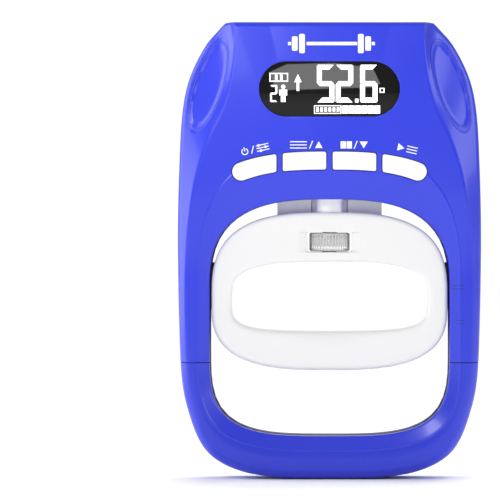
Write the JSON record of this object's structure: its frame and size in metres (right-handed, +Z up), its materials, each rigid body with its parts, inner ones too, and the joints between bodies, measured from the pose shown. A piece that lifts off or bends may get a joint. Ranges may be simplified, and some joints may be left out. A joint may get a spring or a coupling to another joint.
{
  "type": "hand dynamometer",
  "caption": "Electronic grip-strength meter: a squeeze handle inside a closed loop, a thumb wheel that sets the grip span, a display window and a row of push buttons.",
  "frame": {"origin": "on the standing surface, under the middle of the grip bar, at the centre of the width and depth", "axes": "+Z runs up the length from the grip bar to the display head, -Y faces the reader on the display side, +X is to the right of the display"},
  "size_m": [0.1264, 0.0333, 0.19],
  "materials": {
    "shell_blue": "satin moulded blue",
    "handle_white": "satin moulded white",
    "button_white": "moulded white",
    "frame_black": "black coated die casting",
    "lens_dark": "smoked glossy window",
    "lcd": "dark segmented display",
    "backlight": "diffusing white",
    "board": "green solder mask",
    "black_plastic": "moulded black",
    "rubber_mat": "moulded silicone",
    "aluminium": "machined",
    "gauge_foil": "polyimide film",
    "bright_metal": "bright plated",
    "grey_plastic": "moulded light grey",
    "steel": "zinc plated steel",
    "brass": "turned brass",
    "battery_wrap": "shrink wrap over a steel can",
    "lead_red": "insulated wire",
    "lead_black": "insulated wire"
  },
  "bodies": {
    "housing": {"backlight": "backlight", "battery_1": "battery_wrap", "battery_2": "battery_wrap", "battery_contact_1": "bright_metal", "battery_contact_2": "bright_metal", "battery_spring_1": "bright_metal", "battery_spring_2": "bright_metal", "battery_tray": "black_plastic", "button_mat": "rubber_mat", "cell_bolt_left": "steel", "cell_bolt_right": "steel", "cover_screw_1": "steel", "cover_screw_2": "steel", "cover_screw_3": "steel", "cover_screw_4": "steel", "cover_screw_5": "steel", "cover_screw_6": "steel", "cover_screw_7": "steel", "cover_screw_8": "steel", "display_lens": "lens_dark", "front_cover": "shell_blue", "gauge_lead": "lead_black", "grip_front_cover": "shell_blue", "grip_rear_cover": "shell_blue", "lcd_panel": "lcd", "load_cell": "aluminium", "loop_frame": "frame_black", "main_board": "board", "microcontroller": "black_plastic", "rear_cover": "shell_blue", "screw_nut": "brass", "strain_gauge_left": "gauge_foil", "strain_gauge_right": "gauge_foil", "supply_lead_negative": "lead_black", "supply_lead_positive": "lead_red", "switch_down": "black_plastic", "switch_power": "black_plastic", "switch_start": "black_plastic", "switch_up": "black_plastic"},
    "grip_handle": {"handle": "handle_white", "guide_tongue": "grey_plastic", "stem_sleeve": "bright_metal"},
    "grip_adjuster": {"thumb_wheel": "steel", "adjusting_screw": "steel"},
    "power_key": {"button_power": "button_white"},
    "up_key": {"button_up": "button_white"},
    "down_key": {"button_down": "button_white"},
    "start_key": {"button_start": "button_white"},
    "battery_cover": {"battery_door": "shell_blue"}
  },
  "joints": [
    {"name": "grip_span", "type": "slide", "parent": "housing", "child": "grip_handle", "axis": [0, 0, 1], "range_m": [-0.009, 0.0035]},
    {"name": "adjuster_turn", "type": "hinge", "parent": "grip_handle", "child": "grip_adjuster", "pos_m": [0, 0, 0.098], "axis": [0, 0, 1], "range_deg": [-2597, 1013]},
    {"name": "power_press", "type": "slide", "parent": "housing", "child": "power_key", "axis": [0, 1, 0], "range_m": [0, 0.0008], "stiffness_N_per_m": 1200, "springref_m": -0.0003},
    {"name": "up_press", "type": "slide", "parent": "housing", "child": "up_key", "axis": [0, 1, 0], "range_m": [0, 0.0008], "stiffness_N_per_m": 1200, "springref_m": -0.0003},
    {"name": "down_press", "type": "slide", "parent": "housing", "child": "down_key", "axis": [0, 1, 0], "range_m": [0, 0.0008], "stiffness_N_per_m": 1200, "springref_m": -0.0003},
    {"name": "start_press", "type": "slide", "parent": "housing", "child": "start_key", "axis": [0, 1, 0], "range_m": [0, 0.0008], "stiffness_N_per_m": 1200, "springref_m": -0.0003},
    {"name": "battery_cover_lift", "type": "slide", "parent": "housing", "child": "battery_cover", "axis": [0, 1, 0], "range_m": [0, 0.02]}
  ],
  "couplings": [
    {"joint": "adjuster_turn", "follows": "grip_span", "rad_per_m": 5026.5}
  ]
}
